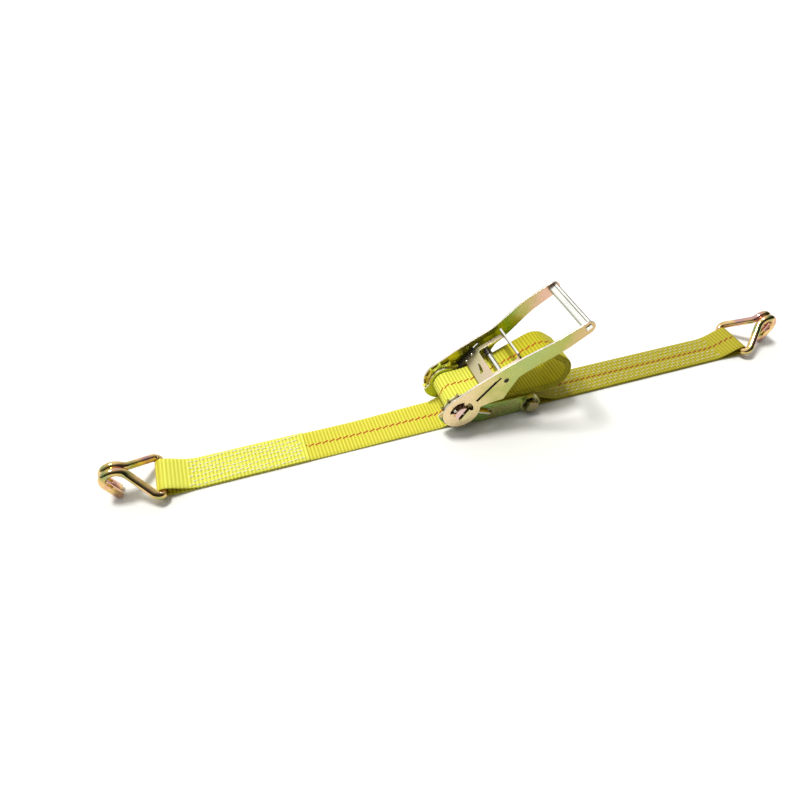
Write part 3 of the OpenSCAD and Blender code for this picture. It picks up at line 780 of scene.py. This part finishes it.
def make_webbing():
    all_rows = range(-3, 4)
    beside_tracer = [k for k in all_rows if k != 0]
    long_strap = Ribbon(long_path(), roll=slight_roll, lift=slight_lift)
    long_strap.build("web_long", LONG_WEB, LONG_BACK, ["long_strap"])
    lap = Ribbon(closing(-1) + [(-BAR_X + LAP_END, PLY_ABOVE)])
    lap_rows = [LAP_ROWS * k for k in all_rows]
    sewn = stitches("sewing_lap", lap, WHITE_THREAD, lap_rows, 33, 176, 8.2, (1.8, 46), 0.76, 1.34)
    lap.build("web_lap", LAP_WEB, LAP_WEB, ["long_strap_lap"])
    tail = Ribbon(tail_path())
    tail_nodes = ["strap_tail", "tail_roll"]
    tail.build("web_tail", TAIL_WEB, TAIL_BACK, tail_nodes, gap_shade=TAIL_GAP_SHADE)
    short = Ribbon(short_path())
    under_rows = [SHORT_ROWS * k for k in all_rows]
    under = stitches(
        "sewing_short_under", short, GREY_THREAD, under_rows, 62, 350, 9.0, (0.6, 40), crest=0.74, top=False
    )
    short.build("web_short", SHORT_BACK, SHORT_BACK, ["short_strap"])
    upper = Ribbon(short_upper_path())
    over_rows = [SHORT_ROWS * k for k in beside_tracer]
    over = stitches("sewing_short", upper, GREY_THREAD, over_rows, 50, 333, 9.0, (0.8, 40), 0.68)
    upper_nodes = ["short_strap_upper"]
    upper.build("web_short_upper", SHORT_WEB, SHORT_BACK, upper_nodes)


make_webbing()


# ---------- handle arms and hooks ----------


def dress(node, material, width):
    """Gives a CAD piece its material and soft edges of the given width."""
    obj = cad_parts[node]
    obj.data.materials.clear()
    obj.data.materials.append(material)
    if "custom_normal" in obj.data.attributes:
        obj.data.attributes.remove(obj.data.attributes["custom_normal"])
    obj.data.polygons.foreach_set("use_smooth", [True] * len(obj.data.polygons))
    if width:
        bevelled(obj, width)
    return obj


def add_edge_highlights(obj, material):
    """Faces that look along Y keep the plating, and the sheared edges between them take a paler material as a
    painted highlight.
    """
    paint(obj, material, lambda f: abs(f.normal.y) < 0.4)


def handle_arm(node, side, material):
    """The CAD arm, with its two sharp bends drawn out into one smooth flare. side is 1 at the far side."""
    first_cut, last_cut, cut_step = 84, 172, 4.0
    slot_start, slot_end, slot_half = 18, 68, 2.4
    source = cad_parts[node]
    bm = bmesh.new()
    bm.from_mesh(source.data)
    bm.transform(source.matrix_world)
    bmesh.ops.remove_doubles(bm, verts=bm.verts, dist=2e-6)
    bmesh.ops.dissolve_limit(bm, angle_limit=math.radians(1.5), verts=bm.verts, edges=bm.edges)
    origin = Vector((DRUM[0], 0, DRUM[1])) * MM
    for u in np.arange(first_cut, last_cut, cut_step):
        bmesh.ops.bisect_plane(
            bm, geom=bm.verts[:] + bm.edges[:] + bm.faces[:], dist=1e-7,
            plane_co=origin + Vector((u * HANDLE_C, 0, u * HANDLE_S)) * MM,
            plane_no=Vector((HANDLE_C, 0, HANDLE_S)),
        )
    step = GRIP_OUT - ARM_T - ARM_IN
    uv, verts = [], []
    bm.verts.index_update()
    for v in bm.verts:
        d = (v.co - origin) / MM
        u, w = along_handle(d.x, d.z)
        sharp = min(1.0, max(0.0, (u - FLARE[0]) / (FLARE[1] - FLARE[0])))
        soft = smooth_step(u, FLARE[0] - FLARE_EASE, FLARE[1] + FLARE_EASE)
        verts.append((v.co.x / MM, d.y + (soft - sharp) * step * side, v.co.z / MM))
        uv.append((u * MM, w * MM))
    faces = [[v.index for v in f.verts] for f in bm.faces]
    bm.free()
    name = node.replace("handle_", "") + "_plate"
    obj = piece(name, verts, faces, material, "handle", [node], uv)
    add_edge_highlights(obj, PAINTED_EDGE_HIGHLIGHT)
    tilt = math.radians(SLIDE_TILT)

    def in_slot(f):
        u, w = np.mean([uv[k] for k in f.vertices], axis=0) / MM
        along = u * math.cos(tilt) + w * math.sin(tilt)
        off = w * math.cos(tilt) - u * math.sin(tilt)
        return f.material_index == 1 and slot_start < along < slot_end and abs(off + SLIDE_OFFSET) < slot_half

    # Painted shade: the faces inside the arm's slot are near black.
    paint(obj, PAINTED_RECESS_SHADE, in_slot)
    bevelled(obj, 0.5)


def rounded_corner(a, p, b, d, points=12):
    """The corner at p on the way from a to b, rounded from d before it to d after it."""
    start = p - d * (p - a) / np.linalg.norm(p - a)
    stop = p + d * (b - p) / np.linalg.norm(b - p)
    return [(1 - t) ** 2 * start + 2 * t * (1 - t) * p + t * t * stop for t in np.linspace(0, 1, points)]


def half_hook(side):
    """Half of a hook's wire from the middle of its base bar to a tip, pointing to +X."""
    slope, leg_slope = 38, 25.5  # of the arm from the level, and of the leg from upright
    bar_half, knee, arm, bend_r, run_in = 31, 9.5, 52, 14, 6
    rise, leg = math.radians(slope), math.radians(leg_slope)
    middle = np.array([0, 0, BAR_Z])
    corner = np.array([0, side * bar_half, BAR_Z])
    up = np.array([math.cos(rise), 0, math.sin(rise)])
    knee_at = corner + knee * up
    centre = np.array([
        arm * math.cos(rise) + bend_r * math.sin(rise), side * (WIRE_R + 0.05),
        BAR_Z + arm * math.sin(rise) - bend_r * math.cos(rise),
    ])
    join = centre + bend_r * np.array([-math.sin(rise), 0, math.cos(rise)]) - run_in * up
    bend = [
        centre + bend_r * np.array([math.cos(a), 0, math.sin(a)])
        for a in (math.radians(90 + slope - turn) for turn in np.linspace(0, 90 + slope + leg_slope, 40))
    ]
    length = (centre[2] - bend_r * math.sin(leg) - WIRE_R * math.sin(leg)) / math.cos(leg)
    tip = bend[-1] - length * np.array([math.sin(leg), 0, math.cos(leg)])
    return (
        [middle] + rounded_corner(middle, corner, knee_at, 6.5) + rounded_corner(corner, knee_at, join, 3)
        + rounded_corner(knee_at, join, bend[0], 5.5) + bend[1:] + [tip]
    )


def wire_hook(node, side):
    """A whole hook from two halves. side is -1 at the left end of the strap and 1 at the right."""
    path = half_hook(-1)[::-1] + half_hook(1)[1:]
    path, radii = chamfered(path, WIRE_R - 0.02)
    path = [p * np.array([side, 1, 1]) + np.array([side * BAR_X, 0, 0]) for p in path]
    verts, faces, uv = sweep(path, radii, 40)
    piece(node + "_wire", verts, faces, HOOK, node, [node], uv)


handle_arm("handle_arm_near", -1, ARM_NEAR)
handle_arm("handle_arm_far", 1, ARM_FAR)
wire_hook("hook_left", -1)
wire_hook("hook_right", 1)


# ---------- release slider ----------


SLIDER_EDGE = 30.0  # half the plate's width
SLIDER_HOLE = [
    (8.6, -8.8), (10.8, -10.2), (13.6, -9.2), (15.0, -4), (15.2, 3),
    (14.8, 7.0), (13.2, 8.0), (11.4, 3.8), (9.6, -3),
]
SLIDER_TAB = [(10.6, -6.5, 0.6), (13.0, 6.0, 0.6), (12.4, 8.6, 3.6), (10.2, -3.0, 3.4)]
SLIDER_RIVETS = [(1.6, 26.6), (13.0, 28.2)]


def outline_mesh(outline, holes, cuts):
    """A flat plate in S and Y with holes, cut across at the given values of S."""
    curve = bpy.data.curves.new("outline", "CURVE")
    curve.dimensions, curve.fill_mode = "2D", "BOTH"
    for ring in [outline] + holes:
        spline = curve.splines.new("POLY")
        spline.points.add(len(ring) - 1)
        for point, (x, y) in zip(spline.points, ring):
            point.co = (x, y, 0, 1)
        spline.use_cyclic_u = True
    holder = bpy.data.objects.new("outline", curve)
    mesh = bpy.data.meshes.new_from_object(holder)
    bm = bmesh.new()
    bm.from_mesh(mesh)
    bpy.data.objects.remove(holder)
    bpy.data.curves.remove(curve)
    bpy.data.meshes.remove(mesh)
    bmesh.ops.remove_doubles(bm, verts=bm.verts, dist=1e-4)
    bmesh.ops.dissolve_limit(bm, angle_limit=0.02, verts=bm.verts, edges=bm.edges)
    top = max(v.co.z for v in bm.verts)
    extra = [f for f in bm.faces if f.calc_center_median().z < top - 1e-4]
    bmesh.ops.delete(bm, geom=extra, context="FACES")
    for at in cuts:
        geom = bm.verts[:] + bm.edges[:] + bm.faces[:]
        bmesh.ops.bisect_plane(bm, geom=geom, dist=1e-5, plane_co=(at, 0, 0), plane_no=(1, 0, 0))
    bm.verts.index_update()
    verts = [(v.co.x, v.co.y) for v in bm.verts]
    faces = [[v.index for v in f.verts] for f in bm.faces]
    bm.free()
    return verts, faces


def rounded_box(x0, x1, y0, y1, radii):
    """Corners in the order low-low, high-low, high-high, low-high."""
    ring = []
    for (x, y, a0), r in zip([(x0, y0, 180), (x1, y0, 270), (x1, y1, 0), (x0, y1, 90)], radii):
        centre = (x + (r if x == x0 else -r), y + (r if y == y0 else -r))
        ring += [tuple(p) for p in arc(centre, r, a0, a0 + 90, 8)]
    return ring


def slider_surface():
    """The middle of the bent plate as a function of S, Y and H above it, and its length along S."""
    route = [(40.2, 3.4), (50, 5.5), (60, 7.6)]
    for b, c, d in [
        ((65, 8.6), (70, 7.4), (80, 5.4)), ((88, 3.9), (100.5, 2.2), (102.4, 3.6)),
        ((103.6, 4.6), (103.6, 8), (104.2, 16.4)),
    ]:
        route += bezier(route[-1], b, c, d, 10)[1:]
    p, s = resample([on_handle(u, v) for u, v in route], 0.5)
    n = normals(p)

    def at(along, y, h=0.0):
        x, z = np.interp(along, s, p[:, 0]), np.interp(along, s, p[:, 1])
        return (x + h * np.interp(along, s, n[:, 0]), y, z + h * np.interp(along, s, n[:, 1]))

    return at, s[-1]


def slider_piece(name, verts, faces, material, uv=None, replaces=()):
    uv = uv or [(0, 0)] * len(verts)
    return piece(name, verts, faces, material, "drive_slider", replaces, uv)


def slider_plate(at, length):
    """The pressed plate with its window and hole, and the upright lip that it ends in."""
    edge, corner = SLIDER_EDGE, 6
    bend_at = length - 15.0
    outline = [(0.0, -edge), (bend_at - 1, -edge)]
    outline += [tuple(q) for q in arc((length - corner, corner - edge), corner, -90, 0, 8)]
    outline += [tuple(q) for q in arc((length - corner, edge - corner), corner, 0, 90, 8)]
    outline += [(bend_at - 1, edge), (0.0, edge)]
    window = rounded_box(23.0, bend_at + 1.2, -23.4, 23.4, (3.5, 5, 5, 3.5))
    flat, faces = outline_mesh(outline, [window, SLIDER_HOLE], list(np.arange(18, length, 1.5)))
    verts, uv = [at(a, y) for a, y in flat], [(a * MM, y * MM) for a, y in flat]
    plate = slider_piece("slider_plate", verts, faces, SLIDER, uv, ["drive_slider"])
    plate.data.materials.append(BRIGHT_STEEL_AND_HIGHLIGHT)
    # Painted shade on the faces of the upright lip.
    paint(plate, PAINTED_SHADE_STEEL, lambda f: bend_at + 2 < min(flat[k][0] for k in f.vertices) < length - 5)
    thick = thickened(plate, 2.3)
    thick.use_even_offset = True
    # Painted highlight: the rims and bevelled edges take the bright steel, the plate's second material.
    thick.material_offset_rim = 1
    bevelled(plate, 0.9).modifiers["edges"].material = 1


def drive_slider():
    """Pressed plate with two ears, a window with rounded corners, a punched tab and a thin upright lip."""
    at, length = slider_surface()
    slider_plate(at, length)
    tab = [at(*corner) for corner in SLIDER_TAB]
    # Painted highlight: the tab is bright steel.
    tab_piece = slider_piece("slider_tab", tab, [(0, 1, 2, 3)], BRIGHT_STEEL_AND_HIGHLIGHT)
    thickened(tab_piece, 1.2)
    bevelled(tab_piece, 0.3)
    for k, (a, y) in enumerate(SLIDER_RIVETS):
        verts, faces, uv = sweep([at(a, y, h) for h in (0.6, 1.5, 2.0, 2.3)], [1.7, 1.7, 1.4, 0.6], 20)
        slider_piece(f"slider_rivet_{k}", verts, faces, BRIGHT_STEEL_AND_HIGHLIGHT, uv)
    low, high = -SLIDE_OFFSET - 1.25, -SLIDE_OFFSET + 1.25
    ear_from, ear_to = 25.8, 59.8
    ear_in, ear_out = 27, ARM_IN + 1.4
    spans = [
        ((ear_from, ear_in, low), (ear_to, ear_out, high)),
        ((ear_from, -ear_out, low), (ear_to, -ear_in, high)),
    ]
    verts, faces = boxes(spans, turned(SLIDE_ANGLE))
    # The ears are painted dark, as the shade in the arms' slots.
    bevelled(slider_piece("slider_ears", verts, faces, PAINTED_RECESS_SHADE), 0.4)


drive_slider()


# ---------- lock pawl and springs ----------


LOCK_ANGLE, LOCK_OFFSET, LOCK_T = -24.2, 0.4, 2.7
LOCK_NOSE, LOCK_LEN = 26, 32
LOCK_END = LOCK_NOSE + LOCK_LEN
LOCK_TRAVEL, LOCK_SEAT = 6, 70.3  # how far the pawl slides, and where its spring rests on the frame
ROD_AT = (71.5, -1.5)  # U and V of the cross rod on the handle
on_lock = turned(LOCK_ANGLE)


def lock_pawl():
    """The CAD pawl, with ears that reach a little further along the frame's slots."""
    ear_to, ear_out = 49, 34.8
    body_out = 25.7
    flange, flange_out, flange_low, flange_high = 2.5, 15, -5.5, 3.5
    top, low = LOCK_T / 2 - LOCK_OFFSET, -LOCK_T / 2 - LOCK_OFFSET
    spans = [
        ((LOCK_NOSE, -ear_out, low), (ear_to, ear_out, top)),
        ((ear_to, -body_out, low), (LOCK_END, body_out, top)),
        (
            (LOCK_END - flange, -flange_out, flange_low - LOCK_OFFSET),
            (LOCK_END, flange_out, flange_high - LOCK_OFFSET),
        ),
    ]
    verts, faces = boxes(spans, on_lock)
    flat_uv = [(0, 0)] * len(verts)
    pawl = piece("pawl_plate", verts, faces, PAWL, "lock_pawl", ["lock_pawl"], flat_uv)
    # Painted highlight on the ends of the ears.
    paint(pawl, PAINTED_EDGE_HIGHLIGHT, lambda f: abs(f.normal.y) > 0.9)
    bevelled(pawl, 0.4)


def coil(r, z0, z1, turns, leg=0.0):
    """A coil about Z, and the straight leg that its last point ends in."""
    steps = 40 * turns
    path = []
    for i in range(steps + 1):
        a = 2 * math.pi * turns * i / steps
        path.append(np.array([r * math.cos(a), r * math.sin(a), z0 + (z1 - z0) * i / steps]))
    return path + ([np.array([r, leg, z1])] if leg else [])


def behind_pawl(q):
    """A coil's point, with its axis along the way that the lock pawl slides."""
    return np.array(on_lock(LOCK_END + 0.1 + q[2], q[1], -q[0] - 1 - LOCK_OFFSET))


def on_rod(q):
    """A coil's point, with its axis along the cross rod and its leg turned onto the slider."""
    t = math.radians(86)
    x, y = q[0] * math.cos(t) - q[1] * math.sin(t), q[0] * math.sin(t) + q[1] * math.cos(t)
    at = on_handle(ROD_AT[0] + x, ROD_AT[1] + y)
    return np.array([at[0], 26 - q[2], at[1]])


def spring(name, path, r, body, node):
    path, radii = chamfered(path, r, 0.2)
    verts, faces, uv = sweep(path, radii, 12)
    return piece(name, verts, faces, SPRING, body, [node], uv)


def springs():
    """Both springs as smooth round wire in place of the faceted CAD coils."""
    path = [behind_pawl(q) for q in coil(2.6, 0.6, 11.6, 5)]
    wire = spring("lock_spring_wire", path, 0.6, "frame", "lock_spring")
    pressed, seat = Vector(on_lock(LOCK_END, 0, 0)), Vector(on_lock(LOCK_SEAT, 0, 0))
    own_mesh(wire)
    path = [on_rod(q) for q in coil(4.6, 0.7, 9.3, 5, 17)]
    spring("drive_spring_wire", path, 0.7, "handle", "drive_spring")


lock_pawl()
springs()


# ---------- CAD pieces that show as they are ----------


def dress_cad_pieces():
    for node, material, width in [
        # The washers take dark steel as painted shade in the bolt's recess.
        ("anchor_bolt", BOLT_STEEL, 0.35), ("anchor_washers", PAINTED_SHADE_STEEL, 0.2),
        ("anchor_nut", BOLT_STEEL, 0.4), ("spacer_sleeve", BRIGHT_STEEL_AND_HIGHLIGHT, 0.3),
        ("cotter_pins", BRIGHT_STEEL_AND_HIGHLIGHT, 0), ("drum_webbing", LONG_BACK, 0),
        ("mandrel_half_upper", MANDREL_PINK, 0.6), ("mandrel_half_lower", MANDREL_OLIVE, 0.6),
        # The near wheel takes the darker copy of the wheel's plating, as painted shade.
        ("ratchet_wheel_near", WHEEL_PAINTED_SHADE, 0.35), ("ratchet_wheel_far", WHEEL, 0.35),
    ]:
        dress(node, material, width)


def dress_channel():
    """The frame: its far plate is seen from inside, and takes a brighter copy of the plating as painted
    light.
    """
    channel = dress("frame_channel", FRAME, 0.4)
    # Painted highlights on the frame's sheared edges.
    add_edge_highlights(channel, OLIVE_PAINTED_EDGE_HIGHLIGHT)
    # Painted light on the far plate.
    paint(channel, FRAME_FAR_PAINTED_LIGHT, lambda f: f.material_index == 0 and (channel.matrix_world @ f.center).y > 0)


def dress_grip():
    """The grip bar's face towards the drum and its face away from it get painted shade, darker than its top.
    """
    centre_at, top = on_handle(193, -1), 4.3
    grip = dress("grip_bar", GRIP, 0.5)

    def side(f):
        """0 on the top and the ends, or else -1 towards the drum and 1 away from it."""
        centre = grip.matrix_world @ f.center / MM
        u, v = along_handle(centre.x - centre_at[0], centre.z - centre_at[1])
        if v > top or abs(centre.y) > GRIP_OUT - 0.2:
            return 0
        return -1 if u < 0 else 1

    # Painted shade on the sides and shoulders below the grip's top.
    paint(grip, GRIP_INNER_PAINTED_SHADE, lambda f: side(f) == -1)
    paint(grip, GRIP_OUTER_PAINTED_SHADE, lambda f: side(f) == 1)


dress_cad_pieces()
dress_channel()
dress_grip()
# The cross rod's end faces get painted shade, for the dark holes in the arms.
paint(dress("cross_rod", BRIGHT_STEEL_AND_HIGHLIGHT, 0.4), PAINTED_RECESS_SHADE, lambda f: abs(f.normal.y) > 0.9)
